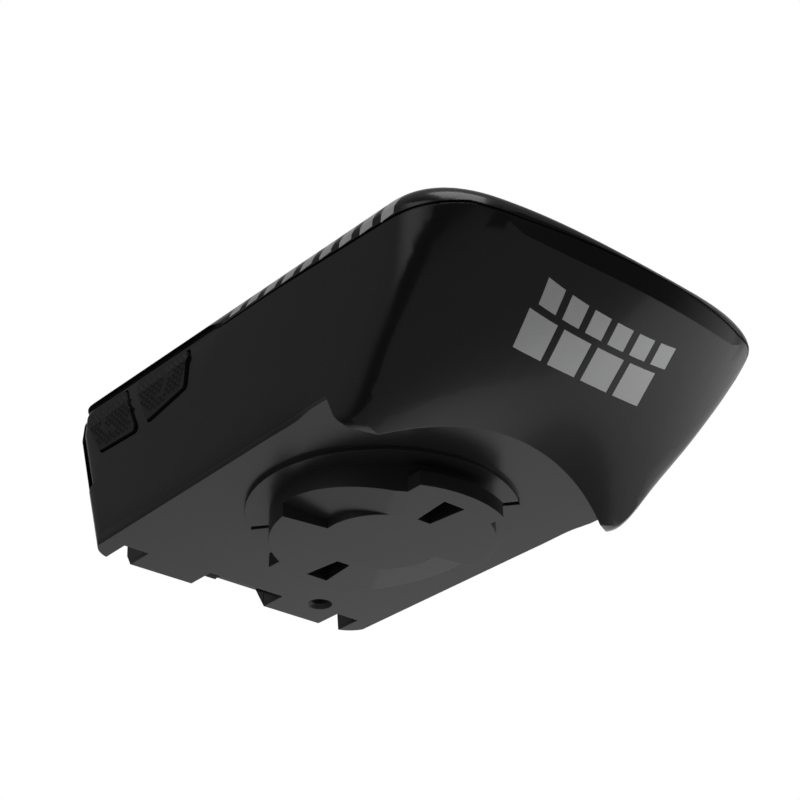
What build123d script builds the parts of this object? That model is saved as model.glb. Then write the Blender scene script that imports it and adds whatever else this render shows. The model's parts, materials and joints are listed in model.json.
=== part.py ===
"""Compact cycling computer with a quarter-turn boss under its case.

Frame: the origin is on the axis of the quarter-turn boss, on its end face, which is the lowest plane.
+X is the device's right, +Y points to the nose, +Z points up through the display. Millimetres.
"""

import os
from math import cos, radians, sin, sqrt, tan

from build123d import *

# ---------------------------------------------------------------- case dimensions
overall_height = 22.14
half_width = 23.77
rear_y = -32.9
nose_y = 41.85                    # foremost point of the case
side_height = 17.0                # height at which the flared side walls turn upright
flare_top = 25.0                  # construction height above the case, where the flare ends
flare_foot_rear = 4.15             # how far the side walls draw in from there down to the boss face plane
flare_foot_front = 5.3
nose_overhang = 9.0
front_flare_y = 44.0              # where the leaning front wall would reach at side_height

base_z = 3.8                      # flat underside of the case, above the boss face
base_thick = 1.6
flange_thick = 0.4                # rim of the base plate that shows under the side walls
wall = 1.8

top_tilt = 3.2                    # the display face falls this many degrees towards the nose
top_rear_y = -31.0
top_front_y = 30.0
nose_top_radius = 17.0
rim_round = 2.6
nose_round = 42.0
front_corner_radius = 10.0
rear_corner_radius = 4.0
rear_bow = 75.0

lip_radius = 34.0                 # front edge of the flat underside, seen from below
lip_centre_y = -12.45
lip_height = 3.5
cheek_drop = 0.0137               # how fast the lip dips towards the sides, per square millimetre
crease_y = 40.9                   # line where the underside of the nose meets its front band
crease_z = 10.85
crease_back = 0.0145
crease_rise = 0.0082
cheek_round = 3.0                 # rounding of the long lower edges, from the side walls into the underside
curl_height = 2.9                 # height that those edges would have along the sides if they were sharp
nose_blend_start, nose_blend_length = 10.0, 7.5    # where those edges turn down to the nose
groove_half, groove_depth = 0.12, 0.3      # groove along the parting line

notch_depth = 4.0
notch_roof_z = 6.6
notch_front_y = -25.5
centre_notch_half = 5.36
side_notch_x, side_notch_width = 15.56, 3.24
notch_wall = 1.2
vent_x, vent_z, vent_radius = -3.0, 6.05, 0.4      # air vent in the wall in front of the middle notch

# ---------------------------------------------------------------- quarter-turn boss
boss_radius = 12.4
tab_radius = 14.2
tab_half_width = 5.8
tab_thick = 1.7
pocket_inner_y, pocket_outer_y = 6.8, 11.7
pocket_inner_half, pocket_outer_half = 0.87, 1.41
pocket_depth = 3.0
ramp_inner_radius = 6.9
ramp_depth = 1.3
ramp_start, ramp_sweep = -8.0, 64.0
pad_radius = 15.1
pad_height = 0.5
pad_start, pad_sweep = -50.0, 177.0
lock_hole_x, lock_hole_y = -10.33, -24.5
insert_radius, insert_bore, insert_length = 1.5, 0.85, 2.4
insert_z = 4.6

# ---------------------------------------------------------------- top stack, depths below the display face
lens_width, lens_length, lens_middle, lens_corner = 39.6, 49.4, 5.3, 3.0
lens_thick, lens_tape = 1.1, 0.2
ledge_top, ledge_bottom = 1.3, 2.3
window_width, window_length, display_middle = 34.6, 44.4, 4.0
panel_width, panel_length = 37.4, 46.0
panel_top, panel_bottom = 2.35, 3.6
light_bottom = 4.4
tray_bottom = 5.2
tray_rim = 0.5
board_top, board_bottom = 6.9, 7.9
board_width, board_length, board_middle = 31.0, 51.0, -0.6
guide_y, guide_pitch, guide_count = 28.5, 3.2, 7

# ---------------------------------------------------------------- buttons, screws, battery
button_travel = 0.35
gap = 0.2                         # clearance round each button
front_button_y, front_button_pitch = -24.4, 12.5
front_button_size = (10.4, 4.6)
front_button_proud = 0.45
flange_grow = 0.5
side_flange_inset = wall + 0.15
side_flange_thick = 0.4
flange_top = 2.45                  # the flanges end under the ledge that carries the lens
side_recess = 0.5
pad_inset = 0.2                  # the side buttons' faces sit this far inside the case surface

screw_places = [(x, y) for x in (-16.4, 16.4) for y in (-15.5, 13.5)]
post_radius = 2.4
frame_boss_radius, frame_boss_length = 2.1, 2.4
screw_radius, screw_head_radius, screw_head, screw_grip = 0.8, 1.5, 1.1, 4.5

battery_size = (27.0, 38.0, 4.8)
battery_middle_y, battery_z = -3.0, 6.0

# ---------------------------------------------------------------- derived planes
slope = tan(radians(top_tilt))
top_origin_z = overall_height + slope * top_rear_y
top_plane = Plane(origin=(0, 0, top_origin_z), x_dir=(1, 0, 0),
                  z_dir=(0, sin(radians(top_tilt)), cos(radians(top_tilt))))


def top_z(y):
    """Height of the display face at a distance y in front of the boss axis."""
    return top_origin_z - slope * y


def plan_outline(height, rise, front_y, inset):
    """Outline of the case from above: bowed rear, straight sides, round nose; rise is 1 at full width."""
    rear_half = half_width - 0.55 - flare_foot_rear * (1 - rise)
    front_half = half_width - flare_foot_front * (1 - rise)
    rear_edge = rear_y + 1.8 * (1 - rise)
    rear_side_y = rear_edge + rear_bow - sqrt(rear_bow**2 - rear_half**2)
    front_side_y = front_y - nose_round + sqrt(nose_round**2 - front_half**2)
    with BuildSketch(Plane.XY.offset(height)) as outline:
        with BuildLine():
            rear = ThreePointArc((-rear_half, rear_side_y), (0, rear_edge), (rear_half, rear_side_y))
            right = Line(rear @ 1, (front_half, front_side_y))
            front = ThreePointArc(right @ 1, (0, front_y), (-front_half, front_side_y))
            Line(front @ 1, rear @ 0)
        make_face()
        fillet(outline.vertices().sort_by(Axis.Y)[-2:], front_corner_radius + 4 * (1 - rise))
        fillet(outline.vertices().sort_by(Axis.Y)[:2], rear_corner_radius)
        if inset > 0:
            offset(amount=-inset, kind=Kind.INTERSECTION)
    return outline.sketch


def top_profile(inset):
    """Side view of everything under the top face, which is tilted, then rounds down over the nose."""
    arc_centre_y = top_front_y - nose_top_radius * sin(radians(top_tilt))
    arc_centre_z = top_z(top_front_y) - nose_top_radius * cos(radians(top_tilt))
    arc_end = 50.0
    with BuildSketch(Plane.YZ) as profile:
        with BuildLine():
            top = Line((-40, top_z(-40)), (top_front_y, top_z(top_front_y)))
            arc = CenterArc((arc_centre_y, arc_centre_z), nose_top_radius, 90 - top_tilt, top_tilt - arc_end)
            nose = PolarLine(arc @ 1, 8, -arc_end)
            Polyline(nose @ 1, nose @ 1 + Vector(0, -20, 0), (-40, -20), top @ 0)
        make_face()
        if inset > 0:
            offset(amount=-inset, kind=Kind.INTERSECTION)
    return profile.sketch


def rear_slope(inset):
    """What the sloped rear wall cuts away from the rear of the flared walls."""
    with BuildPart() as cutter:
        with BuildSketch(Plane.YZ):
            with BuildLine():
                Polyline((-45, 14), (-33.2, 14), (-31.6, 7.1), (-25.9, -1.5), (-45, -1.5), close=True)
            make_face()
            if inset > 0:
                offset(amount=inset, kind=Kind.INTERSECTION)
        extrude(amount=30, both=True)
    return cutter.part


def lip_point(x, lift):
    """Point on the front lip, which follows an arc in plan and dips towards both sides."""
    return Vector(x, lip_centre_y + sqrt(lip_radius**2 - x**2), lip_height - cheek_drop * x**2 + lift)


def crease_point(x, lift):
    """Point on the crease where the underside of the nose meets its front band."""
    return Vector(x, crease_y - crease_back * x**2, crease_z + crease_rise * x**2 + lift)


def ramp_line(stations, along, lift):
    """Curve across the underside of the nose; along is 0 at the lip and 1 at the crease."""
    with BuildLine() as line:
        Spline([lip_point(x, lift) + (crease_point(x, lift) - lip_point(x, lift)) * along for x in stations])
    return line.edges()[0]


def nose_underside(lift):
    """Everything under the nose: a ruled surface from just behind the lip past the crease, swept down."""
    stations = range(-28, 29, 7)
    ramp = Face.make_surface_from_curves(ramp_line(stations, -0.06, lift), ramp_line(stations, 1.4, lift))
    with BuildPart() as underside:
        extrude(ramp, amount=40, dir=(0, 0, -1))
    return underside.part


def wall_x(y, z):
    """Half width of the flared walls at a place along the side."""
    rise = z / side_height
    rear_half = half_width - 0.55 - flare_foot_rear * (1 - rise)
    front_half = half_width - flare_foot_front * (1 - rise)
    front_end = front_flare_y - nose_overhang * (1 - rise) - nose_round + sqrt(nose_round**2 - front_half**2)
    rear_end = rear_y + rear_bow - sqrt(rear_bow**2 - rear_half**2)
    return rear_half + (front_half - rear_half) * (y - rear_end) / (front_end - rear_end)


def ramp_z(x, y):
    """Height of the ruled surface under the nose."""
    lip, crease = lip_point(x, 0), crease_point(x, 0)
    return lip.Z + (crease.Z - lip.Z) * (y - lip.Y) / (crease.Y - lip.Y)


def lower_edge(y):
    """Sharp lower edge on the right, and the outward normals of the wall and of the underside beside it."""
    nose_share = min(max((y - nose_blend_start) / nose_blend_length, 0), 1)
    nose_share = nose_share**2 * (3 - 2 * nose_share)
    x, z = wall_x(y, curl_height), curl_height
    for _ in range(6):
        z = curl_height * (1 - nose_share) + max(ramp_z(x, y), 0) * nose_share
        x = wall_x(y, z)
    wall_normal = Vector(1, wall_x(y, z) - wall_x(y + 1, z), wall_x(y, z) - wall_x(y, z + 1)).normalized()
    slope_x, slope_y = ramp_z(x + 0.5, y) - ramp_z(x - 0.5, y), ramp_z(x, y + 0.5) - ramp_z(x, y - 0.5)
    under_normal = Vector(slope_x * nose_share, slope_y * nose_share, -1).normalized()
    return Vector(x, y, z), wall_normal, under_normal


def rounding_cutter(side, share):
    """What one flat of the lower edge's rounding takes off; share is 0 at the wall and 1 at the underside."""
    upper_rail, lower_rail = [], []
    for y in range(-34, 39, 4):
        edge, wall_normal, under_normal = lower_edge(y)
        out = (wall_normal * (1 - share) + under_normal * share).normalized()
        centre = edge - (wall_normal + under_normal) * (cheek_round / (1 + wall_normal.dot(under_normal)))
        along = (under_normal - out * out.dot(under_normal)).normalized() * cheek_round
        touch = centre + out * cheek_round
        upper, lower = touch - along, touch + along
        upper_rail.append((side * upper.X, upper.Y, upper.Z))
        lower_rail.append((side * lower.X, lower.Y, lower.Z))
    with BuildLine() as top_line:
        Spline(upper_rail)
    with BuildLine() as bottom_line:
        Spline(lower_rail)
    flat = Face.make_surface_from_curves(top_line.edges()[0], bottom_line.edges()[0])
    with BuildPart() as cutter:
        extrude(flat, amount=8, dir=(side * 0.8, 0.15, -0.6))
    return cutter.part


def flared_walls(inset):
    """The leaning walls alone, wider with height; above side_height they pass outside the upright ones."""
    top_rise = flare_top / side_height
    foot = plan_outline(0, 0, front_flare_y - nose_overhang, inset)
    head = plan_outline(flare_top, top_rise, front_flare_y + nose_overhang * (top_rise - 1), inset)
    with BuildPart() as walls:
        loft([foot.faces()[0], head.faces()[0]])
    return walls.part


def hull(inset, lift=0.0, rim=0.0):
    """The whole case as one solid, drawn in by inset, with its underside raised by lift."""
    block, side_view = plan_outline(-1, 1, nose_y, inset), top_profile(inset)
    walls, rear_cut, nose_cut = flared_walls(inset), rear_slope(inset), nose_underside(lift * 1.25)
    with BuildPart() as body:
        extrude(block, amount=26)
        extrude(side_view, amount=30, both=True, mode=Mode.INTERSECT)
        if rim > 0:
            above = body.faces().filter_by(lambda face: face.normal_at().Z > 0.3)
            fillet(above.edges().filter_by(lambda edge: edge not in shared_edges(above)), rim)
        add(walls, mode=Mode.INTERSECT)
        add([rear_cut, nose_cut], mode=Mode.SUBTRACT)
        with BuildSketch(Plane.XY.offset(-1)):
            with Locations((0, lip_centre_y)):
                Circle(lip_radius + lift)
        extrude(amount=base_z + lift + 1, mode=Mode.SUBTRACT)
    return body.part


def below_parting():
    """Everything under the parting line between the two case halves, which dips under the side buttons."""
    with BuildPart() as lower:
        with BuildSketch(Plane.YZ) as area:
            with BuildLine():
                Polyline((-40, 9.6), (-24, 10.8), (-4.4, 11.65), (1.1, 17.55), (12, 17.0), (28, 15.9),
                         (36.5, 15.1), (41.8, 12.65), (48, 9.8), (48, -5), (-40, -5), close=True)
            make_face()
            bends = ((0, -4.4, 11.65), (0, 1.1, 17.55))
            corners = [area.vertices().sort_by_distance(bend)[0] for bend in bends]
            fillet(corners, 2.0)
        extrude(amount=30, both=True)
    return lower.part


def shared_edges(faces):
    """Edges that two of the given faces have in common."""
    every = [edge for face in faces for edge in face.edges()]
    return [edge for edge in every if sum(edge.is_same(other) for other in every) > 1]


def deep(distance):
    """Plane parallel to the display face, this far below it."""
    return top_plane.offset(-distance)


def under_parting(shift):
    """The space under the parting surface when that surface is moved up by shift."""
    return Pos(0, 0, shift) * lower_region


# ---------------------------------------------------------------- case solids
outer = hull(0, rim=rim_round)
for side in (-1, 1):
    for share in (0.2, 0.4, 0.6, 0.8):
        outer = outer - rounding_cutter(side, share)
cavity = hull(wall, wall)
recess_level = hull(side_recess, rim=rim_round - side_recess)
pad_level = hull(pad_inset, rim=rim_round - pad_inset)
flange_level = hull(side_flange_inset, wall)
flange_back = hull(side_flange_inset + side_flange_thick, wall)
seal_outside = hull(0.7, 0.7)
seal_inside = hull(1.3, 1.3)
lower_region = below_parting()
finished = []


def keep(builder, name):
    """Label a finished piece and remember it for export."""
    builder.part.label = name
    finished.append(builder.part)


# ---------------------------------------------------------------- housing seal along the parting line
seal_half_height = 0.2
under_seal_top, under_seal_bottom = under_parting(seal_half_height), under_parting(-seal_half_height)
with BuildPart() as housing_seal:
    add(seal_outside)
    add(seal_inside, mode=Mode.SUBTRACT)
    add(under_seal_top, mode=Mode.INTERSECT)
    add(under_seal_bottom, mode=Mode.SUBTRACT)
keep(housing_seal, "housing_seal")

groove_roof, groove_floor = under_parting(groove_half), under_parting(-groove_half)
groove_bottom = hull(groove_depth)
with BuildPart() as parting_groove:
    add(outer)
    add(groove_bottom, mode=Mode.SUBTRACT)
    add(groove_roof, mode=Mode.INTERSECT)
    add(groove_floor, mode=Mode.SUBTRACT)

# ---------------------------------------------------------------- side button outlines, as (y, z) corners
recess_outline = [(-28.6, 9.4), (-2.9, 10.6), (2.4, 17.6), (-1.6, 19.3), (-29.4, 20.9)]
pad_outlines = {
    "zoom_in_button": [(-14.5, 13.3), (-6.6, 14.1), (-4.6, 18.2), (-15.9, 18.9)],
    "zoom_out_button": [(-24.4, 13.7), (-16.3, 13.2), (-17.9, 19.0), (-27.2, 19.5)],
    "power_button": [(-20.3, 13.5), (-10.2, 14.0), (-9.3, 18.2), (-21.6, 18.8)],
}
stem_places = {
    "zoom_in_button": (-9.6, 14.9),
    "zoom_out_button": (-20.9, 15.6),
    "power_button": (-11.4, 15.0),
}
stem_size = (2.0, 1.2)
stem_x, stem_length = 17.5, 3.4
prism_x, prism_length = 19.0, 8.0  # the outlines are cut through this stretch of the side wall


def grown(outline, amount):
    """Prism through the right wall of the case over an outline grown or shrunk by amount."""
    with BuildPart() as prism:
        with BuildSketch(Plane.YZ.offset(prism_x)) as area:
            with BuildLine():
                Polyline(outline, close=True)
            make_face()
            if amount:
                offset(amount=amount, kind=Kind.INTERSECTION)
            fillet(area.vertices(), 0.6)
        extrude(amount=prism_length)
    return prism.part


def side_button(name):
    """A side button for the right side: face pad, retaining flange behind the wall, and stem."""
    face_prism = grown(pad_outlines[name], -gap)
    flange_prism = grown(pad_outlines[name], flange_grow)
    with BuildPart() as face:
        add(pad_level)
        add(flange_level, mode=Mode.SUBTRACT)
        add(face_prism, mode=Mode.INTERSECT)
    with BuildPart() as button:
        add(flange_level)
        add(flange_back, mode=Mode.SUBTRACT)
        add(flange_prism, mode=Mode.INTERSECT)
        split(bisect_by=deep(flange_top), keep=Keep.BOTTOM)
        add(face.part)
        with BuildSketch(Plane.YZ.offset(stem_x)):
            with Locations(stem_places[name]):
                Rectangle(*stem_size)
        extrude(amount=stem_length)
    return button.part


# ---------------------------------------------------------------- marks: plain slanted bars
def slanted_bar(y, z, length, height, lean):
    """Four corners of a leaning bar."""
    return [(y, z), (y + length, z), (y + length + lean, z + height), (y + lean, z + height)]


mark_depth = 0.12
with BuildPart() as nose_bars:
    with BuildSketch(Plane.XY):
        for index in range(6):
            with BuildLine():
                Polyline(slanted_bar(-8.0 + index * 3.1, 34.6, 2.2, 2.4, 0.9), close=True)
            make_face()
        for index in range(4):
            with BuildLine():
                Polyline(slanted_bar(-8.6 + index * 4.6, 30.1, 3.7, 3.8, 1.3), close=True)
            make_face()
    extrude(amount=18)
mark_layer = nose_underside(mark_depth)
with BuildPart() as nose_mark:
    add(outer)
    add(nose_bars.part, mode=Mode.INTERSECT)
    add(mark_layer, mode=Mode.INTERSECT)
keep(nose_mark, "nose_mark")

rim_level = hull(mark_depth, rim=rim_round - mark_depth)
with BuildPart() as rim_bars:
    with BuildSketch(Plane.YZ.offset(16)):
        for index in range(9):
            with BuildLine():
                y = 3.0 + index * 3.1
                Polyline(slanted_bar(y, 18.1 - 0.075 * y, 1.9, 2.0, 1.1), close=True)
            make_face()
    extrude(amount=12)
with BuildPart() as rim_mark:
    add(outer)
    add(rim_level, mode=Mode.SUBTRACT)
    add(rim_bars.part, mode=Mode.INTERSECT)
keep(rim_mark, "rim_mark")

# ---------------------------------------------------------------- upper housing
button_recess = grown(recess_outline, 0) & (outer - recess_level)
side_cuts = [button_recess, button_recess.mirror(Plane.YZ)]
side_cuts += [grown(pad_outlines[name], 0) for name in ("zoom_in_button", "zoom_out_button")]
side_cuts.append(grown(pad_outlines["power_button"], 0).mirror(Plane.YZ))
with BuildPart() as upper_housing:
    add(outer)
    add(cavity, mode=Mode.SUBTRACT)
    add(lower_region, mode=Mode.SUBTRACT)
    with BuildSketch(deep(ledge_bottom)):
        with Locations((0, lens_middle)):
            RectangleRounded(lens_width + 3.4, lens_length + 3.2, lens_corner)
    extrude(amount=ledge_bottom - 1.0)
    with BuildSketch(deep(ledge_top)):
        with Locations((0, lens_middle)):
            RectangleRounded(lens_width + 0.2, lens_length + 0.2, lens_corner)
    extrude(amount=4, mode=Mode.SUBTRACT)
    with BuildSketch(deep(4)):
        with Locations((0, display_middle)):
            RectangleRounded(window_width, window_length, 1.0)
        with Locations((0, guide_y)):
            with GridLocations(guide_pitch, 1, guide_count, 1):
                Rectangle(1.8, 1.2)
        with Locations((0, front_button_y)):
            with GridLocations(front_button_pitch, 1, 3, 1):
                RectangleRounded(front_button_size[0] + 2 * gap, front_button_size[1] + 2 * gap, 1.7)
    extrude(amount=6, mode=Mode.SUBTRACT)
    add([housing_seal.part, parting_groove.part], mode=Mode.SUBTRACT)
    add(side_cuts, mode=Mode.SUBTRACT)
    add(rim_mark.part, mode=Mode.SUBTRACT)
keep(upper_housing, "upper_housing")

# ---------------------------------------------------------------- rear wall: notches, USB opening and door
rear_lean = 13.06
rear_plane = Plane(origin=(0, -31.6, 7.1), x_dir=(1, 0, 0),
                   z_dir=(0, -cos(radians(rear_lean)), -sin(radians(rear_lean))))
door_half, door_height, door_thick = 5.7, 2.35, 0.8
door_knuckle, door_pin_radius = 0.5, 0.25
hinge_up, hinge_in = 2.1, 0.55    # hinge axis, along the rear wall and below its surface
hinge_point = rear_plane.from_local_coords((0, hinge_up, -hinge_in))
hinge_plane = Plane(origin=hinge_point, x_dir=(0, 1, 0), z_dir=(1, 0, 0))
tab_place, tab_size = (2.8, -0.4), (4.0, 1.0)      # pull tab under the door, seen square on to the rear wall

with BuildPart() as notches:
    with BuildSketch(Plane.XY):
        with Locations((0, -40 + (40 + notch_front_y) / 2)):
            Rectangle(2 * centre_notch_half, 40 + notch_front_y)
        for side in (-1, 1):
            with Locations((side * side_notch_x, -40 + (40 + notch_front_y) / 2)):
                Rectangle(side_notch_width, 40 + notch_front_y)
    extrude(amount=notch_roof_z)

with BuildPart() as notch_linings:
    with BuildSketch(Plane.XY.offset(base_z + flange_thick)):
        for x, width in ((0, 2 * centre_notch_half), (side_notch_x, side_notch_width),
                         (-side_notch_x, side_notch_width)):
            with Locations((x, -29.5 + (29.5 + notch_front_y + notch_wall) / 2)):
                Rectangle(width + 2 * notch_wall, 29.5 + notch_front_y + notch_wall)
    extrude(amount=notch_roof_z + 0.8 - base_z - flange_thick)

lining_walls = notch_linings.part & outer

# ---------------------------------------------------------------- lower shell
inner_plan = plan_outline(0, 0.3, front_flare_y, wall + 0.05)
with BuildPart() as floor_opening:
    with BuildSketch(Plane.XY.offset(base_z - 0.5)):
        with Locations((0, lip_centre_y)):
            Circle(lip_radius - wall + 0.1)
        add(inner_plan, mode=Mode.INTERSECT)
    extrude(amount=base_thick + 0.75)

with BuildPart() as lower_shell:
    add(outer)
    add(cavity, mode=Mode.SUBTRACT)
    add(lower_region, mode=Mode.INTERSECT)
    add(floor_opening.part, mode=Mode.SUBTRACT)
    with BuildSketch(Plane.XY):
        with Locations((0, lip_centre_y)):
            Circle(lip_radius)
    extrude(amount=base_z + flange_thick, mode=Mode.SUBTRACT)
    add(lining_walls)
    for x, y in screw_places:
        joint_z = top_z(y) - tray_bottom - frame_boss_length
        with BuildSketch(Plane.XY.offset(base_z + base_thick + 0.05)):
            with Locations((x, y)):
                Circle(post_radius)
        extrude(amount=joint_z - base_z - base_thick - 0.07)
        with BuildSketch(Plane.XY.offset(base_z + base_thick)):
            with Locations((x, y)):
                Circle(screw_head_radius + 0.2)
        extrude(amount=joint_z - screw_grip - base_z - base_thick, mode=Mode.SUBTRACT)
        with BuildSketch(Plane.XY.offset(base_z + base_thick)):
            with Locations((x, y)):
                Circle(screw_radius + 0.15)
        extrude(amount=joint_z - base_z, mode=Mode.SUBTRACT)
    add(notches.part, mode=Mode.SUBTRACT)
    with BuildSketch(rear_plane):
        with Locations((0, 1.36)):
            Rectangle(2 * door_half + 0.5, 3.08)
        with Locations(tab_place):
            Rectangle(tab_size[0] + 0.6, tab_size[1] + 0.6)
    extrude(amount=-1.15, mode=Mode.SUBTRACT)
    with BuildSketch(rear_plane):
        with Locations((0, 1.5)):
            Rectangle(8.2, 3.0)
    extrude(amount=-3.4, mode=Mode.SUBTRACT)
    with BuildSketch(hinge_plane):
        Circle(door_pin_radius)
    extrude(amount=door_half + 0.8, both=True, mode=Mode.SUBTRACT)
    with BuildSketch(Plane.XZ.offset(-notch_front_y - notch_wall - 0.5)):
        with Locations((vent_x, vent_z)):
            Circle(vent_radius)
    extrude(amount=3, mode=Mode.SUBTRACT)
    add([housing_seal.part, parting_groove.part], mode=Mode.SUBTRACT)
    add(nose_mark.part, mode=Mode.SUBTRACT)
keep(lower_shell, "lower_shell")

# ---------------------------------------------------------------- base plate with the quarter-turn boss
with BuildPart() as ramp_recess:
    with BuildSketch(Plane.XY.offset(-1)):
        with BuildLine():
            inner = CenterArc((0, 0), ramp_inner_radius, ramp_start, ramp_sweep)
            outer_arc = CenterArc((0, 0), boss_radius + 1, ramp_start, ramp_sweep)
            Line(inner @ 0, outer_arc @ 0)
            Line(inner @ 1, outer_arc @ 1)
        make_face()
    extrude(amount=4)
    flush = radians(ramp_start + ramp_sweep)
    mean_radius = (ramp_inner_radius + boss_radius) / 2
    lean = ramp_depth / (mean_radius * sin(radians(ramp_sweep)))
    split(bisect_by=Plane(origin=(0, 0, 0), x_dir=(cos(flush), sin(flush), 0),
                          z_dir=(-lean * sin(flush), lean * cos(flush), 1)), keep=Keep.BOTTOM)

plate_plan = plan_outline(0, 0.3, front_flare_y, wall + 0.2)
with BuildPart() as base_plate:
    add(outer)
    with BuildSketch(Plane.XY.offset(base_z)):
        with Locations((0, lip_centre_y)):
            Circle(lip_radius)
    extrude(amount=flange_thick, mode=Mode.INTERSECT)
    with BuildSketch(Plane.XY.offset(base_z + flange_thick)):
        with Locations((0, lip_centre_y)):
            Circle(lip_radius - wall - 0.05)
        add(plate_plan, mode=Mode.INTERSECT)
    extrude(amount=base_thick - flange_thick)
    with BuildSketch(Plane.XY.offset(base_z + flange_thick)):
        for x, width in ((0, 2 * centre_notch_half), (side_notch_x, side_notch_width),
                         (-side_notch_x, side_notch_width)):
            with Locations((x, -35 + (35 + notch_front_y + notch_wall) / 2)):
                Rectangle(width + 2 * notch_wall + 0.2, 35 + notch_front_y + notch_wall + 0.2)
    extrude(amount=3, mode=Mode.SUBTRACT)
    add(notches.part, mode=Mode.SUBTRACT)
    for start in (pad_start, pad_start + 180):
        with BuildSketch(Plane.XY.offset(base_z - pad_height)):
            with BuildLine():
                near = CenterArc((0, 0), boss_radius - 0.5, start, pad_sweep)
                far = CenterArc((0, 0), pad_radius, start, pad_sweep)
                Line(near @ 0, far @ 0)
                Line(near @ 1, far @ 1)
            make_face()
        extrude(amount=pad_height)
    with BuildSketch(Plane.XY):
        Circle(boss_radius)
    extrude(amount=base_z)
    with BuildSketch(Plane.XY):
        Circle(tab_radius)
        Rectangle(2 * tab_half_width, 40, mode=Mode.INTERSECT)
    extrude(amount=tab_thick)
    with BuildSketch(Plane.XY):
        for side in (-1, 1):
            with BuildLine():
                far_y, near_y = side * pocket_outer_y, side * pocket_inner_y
                Polyline((-pocket_outer_half, far_y), (pocket_outer_half, far_y),
                         (pocket_inner_half, near_y), (-pocket_inner_half, near_y), close=True)
            make_face()
    extrude(amount=pocket_depth, mode=Mode.SUBTRACT)
    with PolarLocations(0, 2):
        add(ramp_recess.part, mode=Mode.SUBTRACT)
    with BuildSketch(Plane.XY.offset(base_z + base_thick)):
        Circle(5.5)
    extrude(amount=-3.0, mode=Mode.SUBTRACT)
    with BuildSketch(Plane.XY.offset(base_z + base_thick - 0.5)):
        with Locations((lock_hole_x, lock_hole_y)):
            Circle(insert_radius + 0.7)
    extrude(amount=insert_z + insert_length - base_z - base_thick + 0.5)
    with Locations(Location((lock_hole_x, lock_hole_y, base_z), (180, 0, 0))):
        CounterSinkHole(insert_bore + 0.2, 1.56, depth=3, counter_sink_angle=90)
    with BuildSketch(Plane.XY.offset(insert_z)):
        with Locations((lock_hole_x, lock_hole_y)):
            Circle(insert_radius)
    extrude(amount=insert_length, mode=Mode.SUBTRACT)
keep(base_plate, "base_plate")

with BuildPart() as lock_insert:
    with BuildSketch(Plane.XY.offset(insert_z)):
        with Locations((lock_hole_x, lock_hole_y)):
            Circle(insert_radius)
            Circle(insert_bore, mode=Mode.SUBTRACT)
    extrude(amount=insert_length)
keep(lock_insert, "lock_insert")

# ---------------------------------------------------------------- lens and display stack
with BuildPart() as cover_lens:
    with BuildSketch(deep(lens_thick)):
        with Locations((0, lens_middle)):
            RectangleRounded(lens_width, lens_length, lens_corner - 0.1)
    extrude(amount=lens_thick)
    chamfer(cover_lens.faces().sort_by(Axis.Z)[-1].edges(), 0.2)
keep(cover_lens, "cover_lens")

with BuildPart() as lens_gasket:
    with BuildSketch(deep(ledge_top)):
        with Locations((0, lens_middle)):
            RectangleRounded(lens_width - 0.4, lens_length - 0.4, lens_corner - 0.3)
        with Locations((0, display_middle)):
            RectangleRounded(window_width + 0.6, window_length + 0.6, 1.0, mode=Mode.SUBTRACT)
        with Locations((0, guide_y)):
            Rectangle(guide_pitch * guide_count, 1.4, mode=Mode.SUBTRACT)
    extrude(amount=lens_tape)
keep(lens_gasket, "lens_gasket")

with BuildPart() as display_panel:
    with BuildSketch(deep(panel_bottom)):
        with Locations((0, display_middle)):
            RectangleRounded(panel_width, panel_length, 0.6)
    extrude(amount=panel_bottom - panel_top)
keep(display_panel, "display_panel")

with BuildPart() as backlight:
    with BuildSketch(deep(light_bottom)):
        with Locations((0, display_middle)):
            RectangleRounded(panel_width - 0.4, panel_length - 0.4, 0.6)
    extrude(amount=light_bottom - panel_bottom - 0.05)
keep(backlight, "backlight")

with BuildPart() as display_frame:
    with BuildSketch(deep(tray_bottom)):
        with Locations((0, display_middle)):
            RectangleRounded(panel_width + 2 * tray_rim + 0.2, panel_length + 2 * tray_rim + 0.2, 1.0)
    extrude(amount=tray_bottom - ledge_bottom)
    with BuildSketch(deep(light_bottom + 0.05)):
        with Locations((0, display_middle)):
            RectangleRounded(panel_width + 0.2, panel_length + 0.2, 0.6)
    extrude(amount=3, mode=Mode.SUBTRACT)
    for x, y in screw_places:
        joint_z = top_z(y) - tray_bottom - frame_boss_length
        with BuildSketch(Plane.XY.offset(joint_z)):
            with Locations((x, y)):
                Circle(frame_boss_radius)
        extrude(amount=frame_boss_length + 0.3)
        with BuildSketch(Plane.XY.offset(joint_z)):
            with Locations((x, y)):
                Circle(screw_radius)
        extrude(amount=frame_boss_length - 0.1, mode=Mode.SUBTRACT)
    with BuildSketch(deep(light_bottom)):
        with Locations((0, display_middle - panel_length / 2)):
            Rectangle(11, 2.4)
    extrude(amount=3, mode=Mode.SUBTRACT)
keep(display_frame, "display_frame")

rear_edge_y = display_middle - panel_length / 2
flex_bend = 1.4                   # how far the flex bends out behind the panel before it drops to the board
with BuildPart() as display_flex:
    runs = ((3.1, 0.15, flex_bend), (board_top, board_top - 2.95, 0.2), (board_top, 0.2, 4.0))
    for depth, height, length in runs:
        with BuildSketch(deep(depth)):
            with Locations((0, rear_edge_y - flex_bend + length / 2)):
                Rectangle(10, length)
        extrude(amount=height)
keep(display_flex, "display_flex")

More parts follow.
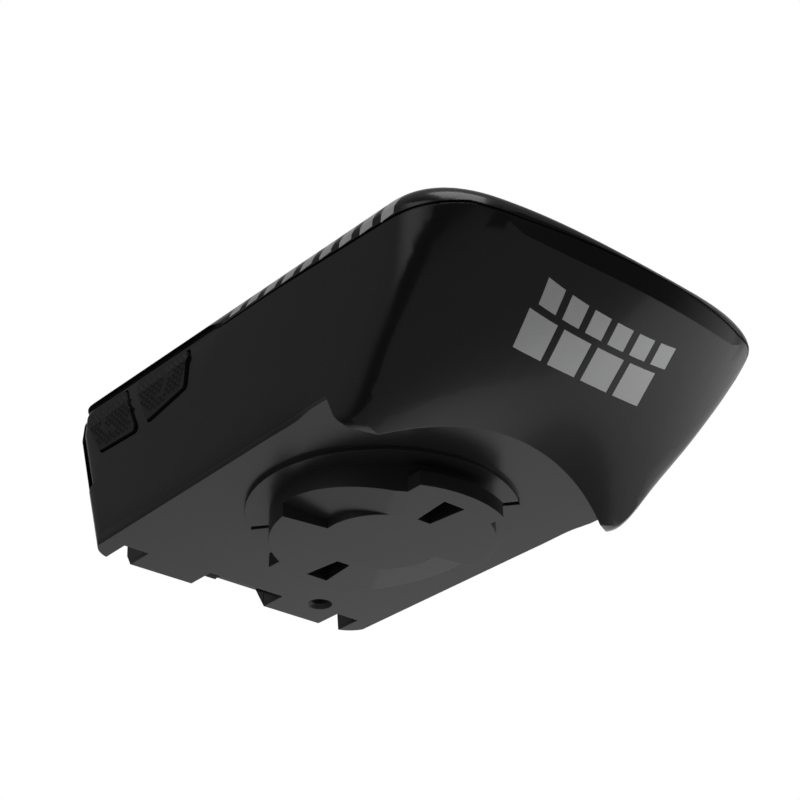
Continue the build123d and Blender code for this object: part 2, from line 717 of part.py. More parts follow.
# ---------------------------------------------------------------- indicator lights
with BuildPart() as light_guides:
    with BuildSketch(deep(4.0)):
        with Locations((0, guide_y)):
            with GridLocations(guide_pitch, 1, guide_count, 1):
                Rectangle(1.6, 1.0)
    extrude(amount=4.0 - ledge_top + 0.1)
    with BuildSketch(deep(4.8)):
        with Locations((0, guide_y + 0.15)):
            RectangleRounded(guide_pitch * guide_count, 1.3, 0.3)
    extrude(amount=0.8)
keep(light_guides, "light_guides")

with BuildPart() as light_strip:
    with BuildSketch(deep(6.3)):
        with Locations((0, guide_y + 0.4)):
            RectangleRounded(guide_pitch * guide_count + 1, 2.2, 0.3)
    extrude(amount=0.6)
    with BuildSketch(deep(5.7)):
        with Locations((0, guide_y + 0.2)):
            with GridLocations(guide_pitch, 1, guide_count, 1):
                Rectangle(1.4, 1.0)
    extrude(amount=0.7)
keep(light_strip, "light_strip")

# ---------------------------------------------------------------- boards and what sits on them
with BuildPart() as main_board:
    with BuildSketch(deep(board_bottom)):
        with Locations((0, board_middle)):
            RectangleRounded(board_width, board_length, 1.5)
        with Locations(*screw_places):
            Circle(post_radius + 0.4, mode=Mode.SUBTRACT)
    extrude(amount=board_bottom - board_top)
keep(main_board, "main_board")

with BuildPart() as shield_cans:
    with BuildSketch(deep(board_top)):
        for x, y, width, length in ((-6.6, 7.0, 12.0, 14.0), (7.4, 5.0, 11.0, 9.0), (0.0, -9.0, 16.0, 9.0)):
            with Locations((x, y)):
                RectangleRounded(width, length, 0.6)
    extrude(amount=1.2)
    chamfer(shield_cans.faces().group_by(Axis.Z)[-1].edges(), 0.25)
keep(shield_cans, "shield_cans")

with BuildPart() as board_chips:
    with BuildSketch(deep(board_bottom + 0.8)):
        for x, y, size in ((-7, 1, 7), (4, 3, 5), (-4, -10, 5), (6, -12, 6)):
            with Locations((x, y)):
                Rectangle(size, size)
    extrude(amount=0.8)
keep(board_chips, "board_chips")

side_switch_x = 14.2
with BuildPart() as side_switches:
    for name, (y, z) in stem_places.items():
        side = -1 if name == "power_button" else 1
        with BuildSketch(deep(board_top)):
            with Locations((side * side_switch_x, y)):
                Rectangle(2.2, 3.0)
        extrude(amount=1.5)
        with BuildSketch(Plane.YZ.offset(side * (side_switch_x + 0.8))):
            with Locations((y, z)):
                Rectangle(1.4, 0.7)
        extrude(amount=side * 2.0)
keep(side_switches, "side_switches")

with BuildPart() as front_switches:
    with BuildSketch(deep(board_top)):
        with Locations((0, front_button_y)):
            with GridLocations(front_button_pitch, 1, 3, 1):
                Rectangle(3.8, 3.0)
    extrude(amount=0.5)
    with BuildSketch(deep(board_top - 0.5)):
        with Locations((0, front_button_y)):
            with GridLocations(front_button_pitch, 1, 3, 1):
                Circle(0.9)
    extrude(amount=0.25)
keep(front_switches, "front_switches")

antenna_y = 33.5
with BuildPart() as antenna_bracket:
    with BuildSketch(Plane.XY.offset(11.95)):
        with Locations((0, antenna_y)):
            RectangleRounded(13.6, 6.2, 0.6)
    extrude(amount=0.5)
keep(antenna_bracket, "antenna_bracket")

with BuildPart() as gps_antenna:
    with BuildSketch(Plane.XY.offset(12.45)):
        with Locations((0, antenna_y)):
            RectangleRounded(12.4, 5.4, 0.5)
    extrude(amount=1.7)
    chamfer(gps_antenna.faces().sort_by(Axis.Z)[-1].edges(), 0.2)
keep(gps_antenna, "gps_antenna")

with BuildPart() as wireless_antenna:
    with BuildSketch(deep(board_top)):
        with Locations((-4, 22.6)):
            Rectangle(12, 2.6)
    extrude(amount=0.3)
keep(wireless_antenna, "wireless_antenna")

with BuildPart() as buzzer:
    with BuildSketch(Plane.XY.offset(13.0)):
        with Locations((-10.6, 33.2)):
            Circle(3.0)
            Circle(0.5, mode=Mode.SUBTRACT)
    extrude(amount=1.3)
keep(buzzer, "buzzer")

# ---------------------------------------------------------------- battery
with BuildPart() as battery_pad:
    with BuildSketch(Plane.XY.offset(base_z + base_thick + 0.05)):
        with Locations((0, battery_middle_y)):
            RectangleRounded(battery_size[0] - 3, battery_size[1] - 3, 1.0)
            Circle(6.0, mode=Mode.SUBTRACT)
    extrude(amount=battery_z - base_z - base_thick - 0.05)
keep(battery_pad, "battery_pad")

with BuildPart() as battery:
    with BuildSketch(Plane.XY.offset(battery_z)):
        with Locations((0, battery_middle_y)):
            RectangleRounded(battery_size[0], battery_size[1], 1.2)
    extrude(amount=battery_size[2])
    fillet(battery.edges().filter_by(Axis.Z, reverse=True), 0.8)
keep(battery, "battery")

battery_front_y = battery_middle_y + battery_size[1] / 2
lead_z = battery_z + 2.4
plug_z = 10.4
with BuildPart() as battery_lead:
    for x in (5.4, 6.8):
        with BuildLine() as route:
            FilletPolyline((x, battery_front_y, lead_z), (x, battery_front_y + 2.4, lead_z),
                           (x, battery_front_y + 2.4, plug_z), radius=1.2)
        with BuildSketch(Plane(origin=(x, battery_front_y, lead_z), z_dir=(0, 1, 0))):
            Circle(0.5)
        sweep(path=route.wires()[0])
keep(battery_lead, "battery_lead")

with BuildPart() as battery_plug:
    with BuildSketch(Plane.XY.offset(plug_z)):
        with Locations((6.1, battery_front_y + 2.4)):
            Rectangle(4.0, 2.6)
    extrude(amount=1.0)
keep(battery_plug, "battery_plug")

with BuildPart() as vent_membrane:
    with BuildSketch(Plane.XZ.offset(-notch_front_y - notch_wall)):
        with Locations((vent_x, vent_z)):
            Circle(vent_radius + 0.2)
    extrude(amount=-0.2)
keep(vent_membrane, "vent_membrane")

# ---------------------------------------------------------------- case screws
with BuildPart() as case_screws:
    for x, y in screw_places:
        joint_z = top_z(y) - tray_bottom - frame_boss_length
        seat_z = joint_z - screw_grip
        with BuildSketch(Plane.XY.offset(seat_z - screw_head)):
            with Locations((x, y)):
                Circle(screw_head_radius)
                RegularPolygon(0.7, 6, mode=Mode.SUBTRACT)
        extrude(amount=screw_head * 0.6)
        with BuildSketch(Plane.XY.offset(seat_z - screw_head * 0.4)):
            with Locations((x, y)):
                Circle(screw_head_radius)
        extrude(amount=screw_head * 0.4)
        with BuildSketch(Plane.XY.offset(seat_z)):
            with Locations((x, y)):
                Circle(screw_radius)
        extrude(amount=screw_grip + 2.1)
keep(case_screws, "case_screws")

# ---------------------------------------------------------------- USB socket, door and hinge pin
with BuildPart() as usb_socket:
    with BuildSketch(Plane.XZ.offset(29.4)):
        with Locations((0, 8.75)):
            RectangleRounded(7.4, 2.5, 0.6)
    extrude(amount=-5.4)
    with BuildSketch(Plane.XZ.offset(29.4)):
        with Locations((0, 8.75)):
            RectangleRounded(6.8, 1.9, 0.4)
    extrude(amount=-4.6, mode=Mode.SUBTRACT)
    with BuildSketch(Plane.XZ.offset(28.6)):
        with Locations((0, 8.95)):
            Rectangle(3.6, 0.5)
    extrude(amount=-4.0)
keep(usb_socket, "usb_socket")

with BuildPart() as usb_door:
    with BuildSketch(rear_plane.offset(-door_thick - 0.1)):
        with Locations((0, hinge_up / 2)):
            Rectangle(2 * door_half, hinge_up)
    extrude(amount=door_thick)
    with BuildSketch(hinge_plane):
        Circle(door_knuckle)
    extrude(amount=door_half, both=True)
    with BuildSketch(rear_plane.offset(-door_thick - 0.1)):
        with Locations((0, 1.05)):
            RectangleRounded(6.6, 1.1, 0.4)
    extrude(amount=-0.8)
    with BuildSketch(rear_plane.offset(-door_thick - 0.1)):
        with Locations(tab_place):
            Rectangle(*tab_size)
    extrude(amount=door_thick - 0.1)
    with BuildSketch(hinge_plane):
        Circle(door_pin_radius + 0.05)
    extrude(amount=door_half + 1, both=True, mode=Mode.SUBTRACT)
keep(usb_door, "usb_door")

with BuildPart() as door_pin:
    with BuildSketch(hinge_plane):
        Circle(door_pin_radius)
    extrude(amount=door_half + 0.8, both=True)
keep(door_pin, "door_pin")

# ---------------------------------------------------------------- front buttons and their seal
front_buttons = {"left_button": -1, "centre_button": 0, "right_button": 1}
for name, step in front_buttons.items():
    with BuildPart() as front_button:
        with BuildSketch(deep(1.95)):
            with Locations((step * front_button_pitch, front_button_y)):
                RectangleRounded(*front_button_size, 1.5)
        extrude(amount=1.95 + front_button_proud)
        fillet(front_button.faces().sort_by(Axis.Z)[-1].edges(), 0.3)
        with BuildSketch(deep(2.45)):
            with Locations((step * front_button_pitch, front_button_y)):
                RectangleRounded(front_button_size[0] + 1.2, front_button_size[1] + 1.2, 1.8)
        extrude(amount=0.5)
        with BuildSketch(deep(5.7)):
            with Locations((step * front_button_pitch, front_button_y)):
                Circle(1.1)
        extrude(amount=3.25)
    keep(front_button, name)

with BuildPart() as front_button_seal:
    with BuildSketch(deep(3.3)):
        with Locations((0, front_button_y)):
            RectangleRounded(36.0, 7.0, 1.5)
            with GridLocations(front_button_pitch, 1, 3, 1):
                Circle(1.4, mode=Mode.SUBTRACT)
    extrude(amount=0.35)
keep(front_button_seal, "front_button_seal")

# ---------------------------------------------------------------- side buttons and their seals
for name in pad_outlines:
    solid = side_button(name)
    if name == "power_button":
        solid = solid.mirror(Plane.YZ)
    with BuildPart() as pressed:
        add(solid)
    keep(pressed, name)

seal_x, seal_thick, seal_height = 19.35, 0.25, 3.0
with BuildPart() as zoom_button_seal:
    with BuildSketch(Plane.YZ.offset(seal_x)):
        with Locations((-15.2, 15.2)):
            RectangleRounded(15.5, seal_height, 1.0)
        for name in ("zoom_in_button", "zoom_out_button"):
            with Locations(stem_places[name]):
                Rectangle(stem_size[0] + 0.4, stem_size[1] + 0.4, mode=Mode.SUBTRACT)
    extrude(amount=seal_thick)
keep(zoom_button_seal, "zoom_button_seal")

with BuildPart() as power_button_seal:
    with BuildSketch(Plane.YZ.offset(-seal_x)):
        with Locations(stem_places["power_button"]):
            RectangleRounded(6.4, seal_height - 0.4, 1.0)
            Rectangle(stem_size[0] + 0.4, stem_size[1] + 0.4, mode=Mode.SUBTRACT)
    extrude(amount=-seal_thick)
keep(power_button_seal, "power_button_seal")

# ---------------------------------------------------------------- export
os.makedirs("parts", exist_ok=True)
for piece in finished:
    export_step(piece, f"parts/{piece.label}.step")
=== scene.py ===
"""Compact cycling computer, seen from below: looks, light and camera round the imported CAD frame."""

import json
import math

import bmesh
import bpy
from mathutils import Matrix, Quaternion, Vector


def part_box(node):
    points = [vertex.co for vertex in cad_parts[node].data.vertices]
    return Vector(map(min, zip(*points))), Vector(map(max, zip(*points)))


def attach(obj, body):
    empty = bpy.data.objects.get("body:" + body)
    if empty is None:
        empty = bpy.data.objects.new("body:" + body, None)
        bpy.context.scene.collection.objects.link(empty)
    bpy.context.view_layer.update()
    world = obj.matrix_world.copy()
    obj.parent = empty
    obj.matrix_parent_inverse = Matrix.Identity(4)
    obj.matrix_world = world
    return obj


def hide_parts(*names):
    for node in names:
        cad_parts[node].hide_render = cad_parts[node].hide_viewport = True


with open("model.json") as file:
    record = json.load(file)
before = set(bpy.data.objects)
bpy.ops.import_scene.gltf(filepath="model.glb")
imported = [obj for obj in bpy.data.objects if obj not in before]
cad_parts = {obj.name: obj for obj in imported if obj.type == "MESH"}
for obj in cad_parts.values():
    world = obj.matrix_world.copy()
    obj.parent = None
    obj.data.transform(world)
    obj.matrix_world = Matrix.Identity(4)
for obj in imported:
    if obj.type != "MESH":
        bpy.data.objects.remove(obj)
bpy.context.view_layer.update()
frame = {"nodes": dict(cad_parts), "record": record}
nodes = frame["nodes"]
MM = 0.001


# ---------------------------------------------------------------- shader values that do arithmetic
class Value:
    """A socket in a material's tree. Arithmetic on it adds the Math nodes."""

    def __init__(self, tree, socket):
        self.tree, self.socket = tree, socket

    def math(self, operation, *others, clamp=False):
        node = self.tree.nodes.new("ShaderNodeMath")
        node.operation, node.use_clamp = operation, clamp
        for slot, item in zip(node.inputs, (self, *others)):
            join(self.tree, slot, item)
        return Value(self.tree, node.outputs[0])

    def __add__(self, other): return self.math("ADD", other)
    def __radd__(self, other): return self.math("ADD", other)
    def __sub__(self, other): return self.math("SUBTRACT", other)
    def __mul__(self, other): return self.math("MULTIPLY", other)
    def __rmul__(self, other): return self.math("MULTIPLY", other)
    def __rsub__(self, other): return self.math("MULTIPLY_ADD", -1.0, other)
    def __truediv__(self, other): return self.math("DIVIDE", other)
    def __abs__(self): return self.math("ABSOLUTE")
    def wave(self, period): return (self * (2 * math.pi / period)).math("SINE")
    def over(self, edge, width): return ((self - edge) / width + 0.5).math("MULTIPLY", 1.0, clamp=True)


def join(tree, slot, item):
    """Feed a socket with a value's link or with a constant."""
    if isinstance(item, Value):
        tree.links.new(item.socket, slot)
    elif item is not None:
        slot.default_value = item


class Nodes:
    """A node tree with one method that adds any node."""

    def add(self, kind, output=0, settings=None, **inputs):
        """The output of a new node, whose settings are set first and then its sockets."""
        made = self.tree.nodes.new(kind)
        for key, setting in (settings or {}).items():
            setattr(made, key, setting)
        for key, item in inputs.items():
            join(self.tree, made.inputs[key.replace("_", " ")], item)
        return Value(self.tree, made.outputs[output])


class Finish(Nodes):
    """One material: its tree, its shader and the place that its patterns are worked out from."""

    edge = 0.0

    def __init__(self, name, color, rough, **constants):
        self.material = bpy.data.materials.new(name)
        self.material.use_nodes = True
        self.tree = self.material.node_tree
        self.shader = self.tree.nodes["Principled BSDF"]
        self.shader.inputs["Base Color"].default_value = (*color, 1)
        self.shader.inputs["Roughness"].default_value = rough
        for key, constant in constants.items():
            self.shader.inputs[key.replace("_", " ")].default_value = constant
        self.place = self.add("ShaderNodeTexCoord", "Object")
        across = self.tree.nodes.new("ShaderNodeSeparateXYZ")
        self.tree.links.new(self.place.socket, across.inputs[0])
        self.x, self.y, self.z = (Value(self.tree, out) for out in across.outputs)

    def noise(self, grain, detail=3.0, rough=0.55):
        """Noise whose grains are this many metres across."""
        return self.add("ShaderNodeTexNoise", Vector=self.place, Scale=1 / grain, Detail=detail,
                        Roughness=rough)

    def tint(self, amount, dark, light):
        """Base colour between two tones."""
        blend = self.add("ShaderNodeMix", 2, {"data_type": "RGBA"})
        mix = blend.socket.node
        join(self.tree, mix.inputs[0], amount)
        mix.inputs[6].default_value, mix.inputs[7].default_value = (*dark, 1), (*light, 1)
        self.tree.links.new(blend.socket, self.shader.inputs["Base Color"])

    def rough(self, amount):
        self.tree.links.new(amount.socket, self.shader.inputs["Roughness"])

    def relief(self, height, depth, strength=1.0):
        """Bump of this depth in metres; height runs from 0 to 1."""
        rounded = None
        if self.edge:
            rounded = self.add("ShaderNodeBevel", settings={"samples": 4}, Radius=self.edge)
        bump = self.add("ShaderNodeBump", Height=height, Distance=depth, Strength=strength, Normal=rounded)
        self.tree.links.new(bump.socket, self.shader.inputs["Normal"])


def moulded(name, color, rough, grain, depth, wear=0.06, edge=0.0, **constants):
    """Moulded plastic or rubber: fine mould grain, cloudy gloss, slight change of tone."""
    made = Finish(name, color, rough, **constants)
    made.edge = edge
    fine, cloud = made.noise(grain), made.noise(9 * MM, 4.0)
    made.rough(cloud * wear * 2 + fine * wear + (rough - wear * 1.5))
    made.tint(cloud, [c * 0.8 for c in color], [c * 1.25 for c in color])
    made.relief(fine, depth)
    return made.material


def drawn_metal(name, color, rough, grain):
    """Metal with fine scratches and dull patches."""
    made = Finish(name, color, rough, Metallic=1.0)
    fine, cloud = made.noise(grain, 6.0), made.noise(3 * MM)
    made.rough(cloud * 0.2 + fine * 0.12 + (rough - 0.16))
    made.tint(cloud, [c * 0.82 for c in color], color)
    made.relief(fine, 0.003 * MM, 0.6)
    return made.material


def lacquered_case():
    """Glossy black moulding: deep black with faint ripple, smears and dust."""
    made = Finish("case_gloss_black", (0.006, 0.006, 0.0065), 0.2, Coat_Weight=0.25, Coat_Roughness=0.09)
    made.edge = 0.14 * MM
    ripple, smear, dust = made.noise(1.6 * MM, 2.0), made.noise(14 * MM, 4.0), made.noise(0.08 * MM, 2.0)
    made.rough(smear * 0.12 + dust.over(0.66, 0.06) * 0.1 + 0.17)
    made.tint(smear, (0.005, 0.005, 0.0055), (0.0085, 0.0085, 0.009))
    made.relief(ripple, 0.0025 * MM, 0.5)
    return made.material


def circuit_board():
    """Green board with copper tracks under the mask and bare pads."""
    made = Finish("board_green", (0.015, 0.1, 0.05), 0.35, Coat_Weight=0.3, Coat_Roughness=0.2)
    tracks = (made.x.wave(1.1 * MM) * made.y.wave(2.3 * MM)).over(0.25, 0.06)
    lanes = abs(made.x.wave(0.63 * MM)).over(0.9, 0.05) * made.noise(4 * MM).over(0.52, 0.03)
    cover = (tracks * 0.5 + lanes * 0.5).math("MINIMUM", 1.0)
    made.tint(cover, (0.01, 0.07, 0.035), (0.05, 0.22, 0.1))
    made.rough(cover * -0.08 + made.noise(0.4 * MM) * 0.15 + 0.32)
    made.relief(cover, 0.02 * MM)
    return made.material


def printed_silver():
    """Silver paint with fine flakes."""
    made = Finish("silver_print", (0.8, 0.8, 0.81), 0.34, Metallic=0.45)
    flake = made.add("ShaderNodeTexVoronoi", "Distance", Vector=made.place, Scale=1 / (0.09 * MM))
    cloud = made.noise(4 * MM)
    made.tint(flake * 0.6 + cloud * 0.4, (0.72, 0.73, 0.74), (0.92, 0.92, 0.93))
    made.rough(cloud * 0.14 + 0.28)
    made.relief(flake, 0.004 * MM, 0.5)
    return made.material


def panel_glass():
    """Grey green display under the lens, with fine pixel rows."""
    made = Finish("display_panel", (0.11, 0.13, 0.12), 0.3, Coat_Weight=0.5)
    rows = (abs(made.x.wave(0.36 * MM)) * abs(made.y.wave(0.36 * MM))).math("POWER", 0.5)
    made.tint(rows, (0.07, 0.085, 0.08), (0.14, 0.165, 0.15))
    made.rough(made.noise(2 * MM) * 0.1 + 0.26)
    return made.material


def clear_lens():
    """Hard coated window, clear with a smoked tone and faint smears."""
    made = Finish("lens_clear", (0.5, 0.53, 0.54), 0.05, Transmission_Weight=0.92, IOR=1.49, Coat_Weight=0.4)
    smear = made.noise(11 * MM, 4.0)
    made.rough(smear.over(0.5, 0.5) * 0.07 + 0.03)
    made.tint(smear, (0.42, 0.45, 0.46), (0.55, 0.58, 0.59))
    return made.material


def fired_tile():
    """Ceramic antenna tile with a silver patch fired on its top."""
    made = Finish("antenna_ceramic", (0.72, 0.62, 0.45), 0.5)
    low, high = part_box("gps_antenna")
    middle, reach = (low + high) / 2, (high - low) / 2 * 0.8
    in_x = 1 - abs(made.x - middle.x).over(reach.x, 0.1 * MM)
    in_y = 1 - abs(made.y - middle.y).over(reach.y, 0.1 * MM)
    patch = in_x * in_y * made.z.over(high.z - 0.05 * MM, 0.05 * MM)
    made.tint(patch, (0.7, 0.6, 0.43), (0.83, 0.82, 0.8))
    made.tree.links.new(patch.socket, made.shader.inputs["Metallic"])
    made.rough(made.noise(0.5 * MM) * 0.2 + 0.3)
    made.relief(made.noise(0.15 * MM), 0.01 * MM)
    return made.material


def woven_film():
    """Breathable film over the air vent."""
    made = Finish("vent_film", (0.8, 0.81, 0.82), 0.7)
    weave = made.x.wave(0.12 * MM) * made.z.wave(0.12 * MM) * 0.5 + 0.5
    made.tint(weave, (0.62, 0.63, 0.64), (0.86, 0.87, 0.88))
    made.rough(weave * 0.1 + 0.62)
    made.relief(weave, 0.02 * MM)
    return made.material


RUBBER = (0.012, 0.012, 0.013)
finishes = {
    "case_gloss": lacquered_case(),
    "base_satin": moulded("base_satin_grey", (0.042, 0.0425, 0.044), 0.3, 0.12 * MM, 0.004 * MM,
                          wear=0.05, edge=0.12 * MM),
    "silver_print": printed_silver(),
    "button_rubber": moulded("button_rubber", RUBBER, 0.45, 0.09 * MM, 0.006 * MM, 0.08),
    "seal_rubber": moulded("seal_rubber", RUBBER, 0.62, 0.1 * MM, 0.01 * MM, 0.08),
    "clear_lens": clear_lens(),
    "display": panel_glass(),
    "light_film": moulded("light_film", (0.8, 0.81, 0.79), 0.4, 0.2 * MM, 0.004 * MM),
    "tray": moulded("tray_grey", (0.06, 0.06, 0.065), 0.5, 0.15 * MM, 0.01 * MM),
    "clear_guide": moulded("light_guide", (0.75, 0.78, 0.8), 0.12, 0.6 * MM, 0.002 * MM, 0.03,
                           Transmission_Weight=0.8),
    "board": circuit_board(),
    "tinned_steel": drawn_metal("shield_tinned", (0.66, 0.65, 0.62), 0.36, 0.1 * MM),
    "chip_black": moulded("chip_black", (0.02, 0.02, 0.022), 0.55, 0.08 * MM, 0.012 * MM),
    "flex_film": moulded("flex_amber", (0.42, 0.17, 0.03), 0.25, 0.5 * MM, 0.004 * MM, 0.04),
    "ceramic_tile": fired_tile(),
    "cell_wrap": moulded("cell_pouch", (0.42, 0.43, 0.45), 0.38, 0.7 * MM, 0.02 * MM, 0.08, Metallic=0.6),
    "foam": moulded("cell_foam", (0.05, 0.05, 0.055), 0.85, 0.18 * MM, 0.06 * MM),
    "wire": moulded("wire_red", (0.35, 0.02, 0.015), 0.4, 0.2 * MM, 0.005 * MM),
    "plug_white": moulded("plug_nylon", (0.7, 0.68, 0.62), 0.45, 0.2 * MM, 0.006 * MM),
    "membrane": woven_film(),
    "screw_steel": drawn_metal("screw_steel", (0.56, 0.55, 0.53), 0.33, 0.07 * MM),
    "brass_insert": drawn_metal("insert_brass", (0.72, 0.52, 0.22), 0.3, 0.07 * MM),
    "door_plastic": moulded("door_rubber", (0.015, 0.015, 0.016), 0.45, 0.1 * MM, 0.008 * MM),
    "socket_steel": drawn_metal("socket_steel", (0.6, 0.6, 0.6), 0.28, 0.08 * MM),
}
slot_of = {part["node"]: part["material_slot"] for part in frame["record"]["subparts"]}
body_of = {node: body for body, members in frame["record"]["behaviour"]["bodies"].items() for node in members}


# ---------------------------------------------------------------- pieces made from the CAD solids
WELD = 0.0005 * MM


def smoothed(node, angle):
    """A welded copy of a CAD node, shaded smooth where its faces meet at less than this many degrees."""
    mesh = nodes[node].data.copy()
    mesh.name = node + "_skin"
    work = bmesh.new()
    work.from_mesh(mesh)
    bmesh.ops.remove_doubles(work, verts=work.verts, dist=WELD)
    bmesh.ops.dissolve_degenerate(work, dist=WELD, edges=work.edges)
    work.to_mesh(mesh)
    work.free()
    for stale in ("custom_normal", "sharp_edge", "sharp_face"):
        if stale in mesh.attributes:
            mesh.attributes.remove(mesh.attributes[stale])
    mesh.set_sharp_from_angle(angle=math.radians(angle))
    piece = bpy.data.objects.new(node + "_skin", mesh)
    bpy.context.scene.collection.objects.link(piece)
    mesh.materials.clear()
    mesh.materials.append(finishes[slot_of[node]])
    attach(piece, body_of[node])
    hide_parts(node)
    return piece


class Tree(Nodes):
    """A Geometry Nodes tree with named inputs for its sizes, and its use on a piece."""

    def __init__(self, name, sizes):
        self.tree = bpy.data.node_groups.new(name, "GeometryNodeTree")
        self.tree.interface.new_socket("Geometry", in_out="INPUT", socket_type="NodeSocketGeometry")
        self.tree.interface.new_socket("Geometry", in_out="OUTPUT", socket_type="NodeSocketGeometry")
        self.keys = {}
        for size in sizes:
            socket = self.tree.interface.new_socket(size, in_out="INPUT", socket_type="NodeSocketFloat")
            self.keys[size] = socket.identifier
        self.given = self.tree.nodes.new("NodeGroupInput")
        self.sizes = sizes

    def size(self, name):
        return Value(self.tree, self.given.outputs[name])

    def apart(self, vector):
        split = self.add("ShaderNodeSeparateXYZ", Vector=vector).socket.node
        return [Value(self.tree, out) for out in split.outputs]

    def bake(self, piece, geometry, material):
        """Close the tree, run it on the piece, and leave the piece with the plain mesh that it makes."""
        real = self.add("GeometryNodeRealizeInstances", Geometry=geometry)
        painted = self.add("GeometryNodeSetMaterial", Geometry=real, Material=material)
        self.tree.links.new(painted.socket, self.tree.nodes.new("NodeGroupOutput").inputs[0])
        run = piece.modifiers.new(self.tree.name, "NODES")
        run.node_group = self.tree
        for size, key in self.keys.items():
            run[key] = self.sizes[size]
        ready = piece.evaluated_get(bpy.context.evaluated_depsgraph_get())
        mesh = bpy.data.meshes.new_from_object(ready)
        piece.modifiers.remove(run)
        piece.data = mesh


def knurled(node, outward, arrow_tip, arrow_way):
    """A side button with a diamond knurl grown on its outer face, left smooth along an arrow mark."""
    low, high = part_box(node)
    middle = (low + high) / 2
    face_share = 0.62                       # how far out through the button its outer face begins
    edge_margin = 0.56 * MM                 # the knurl stays this far from the edge of the face
    start, reach = 30 * MM, 80 * MM         # where a ray starts beside the button's face, and its length
    facing_out = 0.9                        # least cosine between the face and the outward way
    piece = smoothed(node, 30)
    sizes = {"Pitch": 0.62 * MM, "Height": 0.15 * MM, "Mark width": 0.6 * MM, "Mark reach": 1.6 * MM,
             "Span": 16 * MM, "Face at": min(abs(low.x), abs(high.x)) + face_share * (high.x - low.x)}
    knurl = Tree(node + "_knurl", sizes)
    body = Value(knurl.tree, knurl.given.outputs["Geometry"])
    pitch, height = knurl.size("Pitch"), knurl.size("Height")
    count = (knurl.size("Span") / pitch).math("ROUND") + 1.0
    lattice = knurl.add("GeometryNodeMeshGrid", Size_X=knurl.size("Span"), Size_Y=knurl.size("Span"),
                        Vertices_X=count, Vertices_Y=count)
    upright = knurl.add("GeometryNodeTransform", Geometry=lattice, Rotation=(0, math.radians(90), 0))
    turned = knurl.add("GeometryNodeTransform", Geometry=upright, Rotation=(math.radians(45), 0, 0),
                       Translation=middle)
    here = knurl.add("GeometryNodeInputPosition")

    def cast(shift_y, shift_z):
        """Ray from outside onto the button, past a point shifted along its face."""
        source = knurl.tree.nodes.new("ShaderNodeVectorMath")
        knurl.tree.links.new(here.socket, source.inputs[0])
        source.inputs[1].default_value = (outward * start, shift_y, shift_z)
        hit = knurl.add("GeometryNodeRaycast", Target_Geometry=body,
                        Source_Position=Value(knurl.tree, source.outputs[0]),
                        Ray_Direction=(-outward, 0, 0), Ray_Length=reach).socket.node
        there, spot, facing = (Value(knurl.tree, hit.outputs[name])
                               for name in ("Is Hit", "Hit Position", "Hit Normal"))
        x, y, z = knurl.apart(spot)
        lean = knurl.apart(facing)[0] * outward
        past_flange = (x * outward).math("GREATER_THAN", knurl.size("Face at"))
        sound = there * lean.math("GREATER_THAN", facing_out) * past_flange
        return sound, spot, facing, y, z

    on_face, spot, facing, y, z = cast(0, 0)
    for shift_y, shift_z in ((1, 0), (-1, 0), (0, 1), (0, -1)):
        on_face = on_face * cast(shift_y * edge_margin, shift_z * edge_margin)[0]
    along, across = (y - arrow_tip[0]) * arrow_way, abs(z - arrow_tip[1])
    on_mark = (abs(along + across * 1.6).math("LESS_THAN", knurl.size("Mark width"))
               * across.math("LESS_THAN", knurl.size("Mark reach")))
    resting = knurl.add("GeometryNodeSetPosition", Geometry=turned, Position=spot)
    stud = knurl.add("GeometryNodeMeshCone", settings={"fill_type": "NONE"}, Vertices=4,
                     Radius_Top=0.0001 * MM, Radius_Bottom=pitch * math.sqrt(0.5), Depth=height)
    aim = knurl.add("FunctionNodeAlignRotationToVector", settings={"axis": "Z"}, Vector=facing)
    square = knurl.add("FunctionNodeAlignRotationToVector", settings={"axis": "X", "pivot_axis": "Z"},
                       Rotation=aim, Vector=(0, 1, 0))
    studs = knurl.add("GeometryNodeInstanceOnPoints", Points=resting, Selection=on_face * (1 - on_mark),
                      Instance=stud, Rotation=square)
    both = knurl.add("GeometryNodeJoinGeometry", Geometry=body)
    knurl.tree.links.new(studs.socket, both.socket.node.inputs[0])
    knurl.bake(piece, both, finishes["button_rubber"])
    return piece


for node, thing in nodes.items():
    thing.data.materials.clear()
    thing.data.materials.append(finishes[slot_of[node]])

for node, angle in (("lower_shell", 24), ("upper_housing", 24), ("base_plate", 24), ("usb_door", 30),
                    ("left_button", 30), ("centre_button", 30), ("right_button", 30), ("cover_lens", 20)):
    smoothed(node, angle)
knurled("zoom_in_button", 1, (-8.9 * MM, 16.7 * MM), 1)
knurled("zoom_out_button", 1, (-23.2 * MM, 16.6 * MM), -1)
knurled("power_button", -1, (-15.2 * MM, 16.2 * MM), 1)

# ---------------------------------------------------------------- floor, light and camera
look_at = Vector((2.13, 5.58, 14.73)) * MM
toward = Vector((-0.5602, -0.6534, 0.5093))
distance = 176.9 * MM
roll = math.radians(0.43)
sensor, lens = 36.0, 72.05

camera_data = bpy.data.cameras.new("camera")
camera_data.sensor_width, camera_data.lens = sensor, lens
camera_data.clip_start, camera_data.clip_end = 0.01, 20
camera = bpy.data.objects.new("camera", camera_data)
bpy.context.scene.collection.objects.link(camera)
camera.rotation_mode = "QUATERNION"
camera.location = look_at - toward * distance
camera.rotation_quaternion = toward.to_track_quat("-Z", "Y") @ Quaternion((0, 0, 1), -roll)
bpy.context.scene.camera = camera

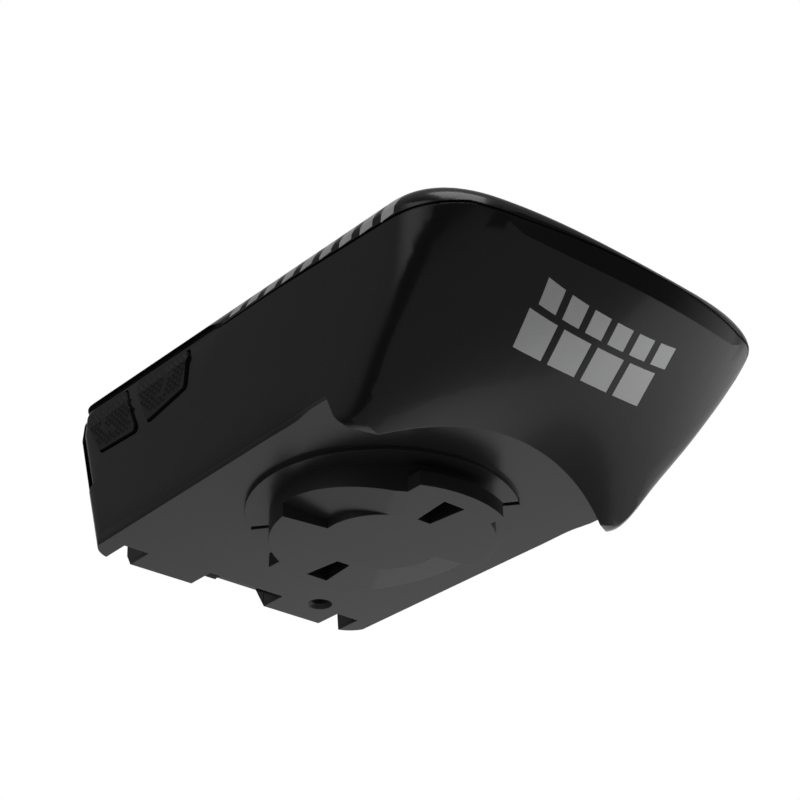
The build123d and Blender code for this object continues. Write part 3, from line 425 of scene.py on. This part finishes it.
floor_finish = moulded("floor_paper", (0.6, 0.6, 0.6), 0.9, 3 * MM, 0.01 * MM)
floor_height, floor_half = -0.4, 0.32
floor_mesh = bpy.data.meshes.new("floor")
corners = [(x * floor_half, y * floor_half, floor_height) for x, y in ((-1, -1), (1, -1), (1, 1), (-1, 1))]
floor_mesh.from_pydata(corners, [], [(0, 1, 2, 3)])
floor_mesh.materials.append(floor_finish)
floor = bpy.data.objects.new("floor", floor_mesh)
bpy.context.scene.collection.objects.link(floor)

world = bpy.data.worlds.new("studio")
bpy.context.scene.world = world
world.use_nodes = True
studio = world.node_tree
air = studio.nodes["Background"]
sight = studio.nodes.new("ShaderNodeTexCoord")


def glow(direction, start, end):
    """A soft patch of the surroundings round a direction, from nothing at the cosine start to full at end."""
    near = studio.nodes.new("ShaderNodeVectorMath")
    near.operation = "DOT_PRODUCT"
    studio.links.new(sight.outputs["Generated"], near.inputs[0])
    near.inputs[1].default_value = Vector(direction).normalized()
    return Value(studio, near.outputs["Value"]).over((start + end) / 2, end - start)


seen = Value(studio, studio.nodes.new("ShaderNodeLightPath").outputs["Is Camera Ray"])
patches = (                         # direction, cosine where it starts, cosine where it is full, strength
    ((-0.85, -0.3, -0.45), 0.45, 1.05, 0.66),       # low on the left: base plate and far side of the nose
    (toward, 0.72, 0.98, 0.35),                     # straight ahead of the camera: glancing edges
    ((1, -0.05, 0.15), 0.9, 1.0, 0.9),              # right: front corner of the side wall
    ((0.1, 0, 1), 0.7, 1.1, 0.25),                  # overhead
    ((0.35, 0.8, 0.5), 0.6, 1.0, 0.1),              # in front: sides of the boss
    ((0.74, -0.65, 0.18), 0.7, 1.0, 0.14),          # behind on the right: side wall
)
surroundings = 0.06                         # strength everywhere else
for direction, start, end, strength in patches:
    surroundings = glow(direction, start, end) * strength + surroundings
studio.links.new(seen.math("MAXIMUM", surroundings).socket, air.inputs["Strength"])
air.inputs["Color"].default_value = (1, 1, 1, 1)


def softbox(name, place, aim, width, height, power):
    """A soft rectangular light turned towards a point."""
    light = bpy.data.lights.new(name, "AREA")
    light.shape, light.size, light.size_y, light.energy = "RECTANGLE", width, height, power
    lamp = bpy.data.objects.new(name, light)
    lamp.location = place
    lamp.rotation_mode = "QUATERNION"
    lamp.rotation_quaternion = (Vector(aim) - Vector(place)).to_track_quat("-Z", "Y")
    bpy.context.scene.collection.objects.link(lamp)


softbox("key_from_above", (0.25, 0.3, 0.7), (0, 0, 0), 0.5, 0.5, 1.6)

bpy.context.scene.view_settings.view_transform = "Standard"
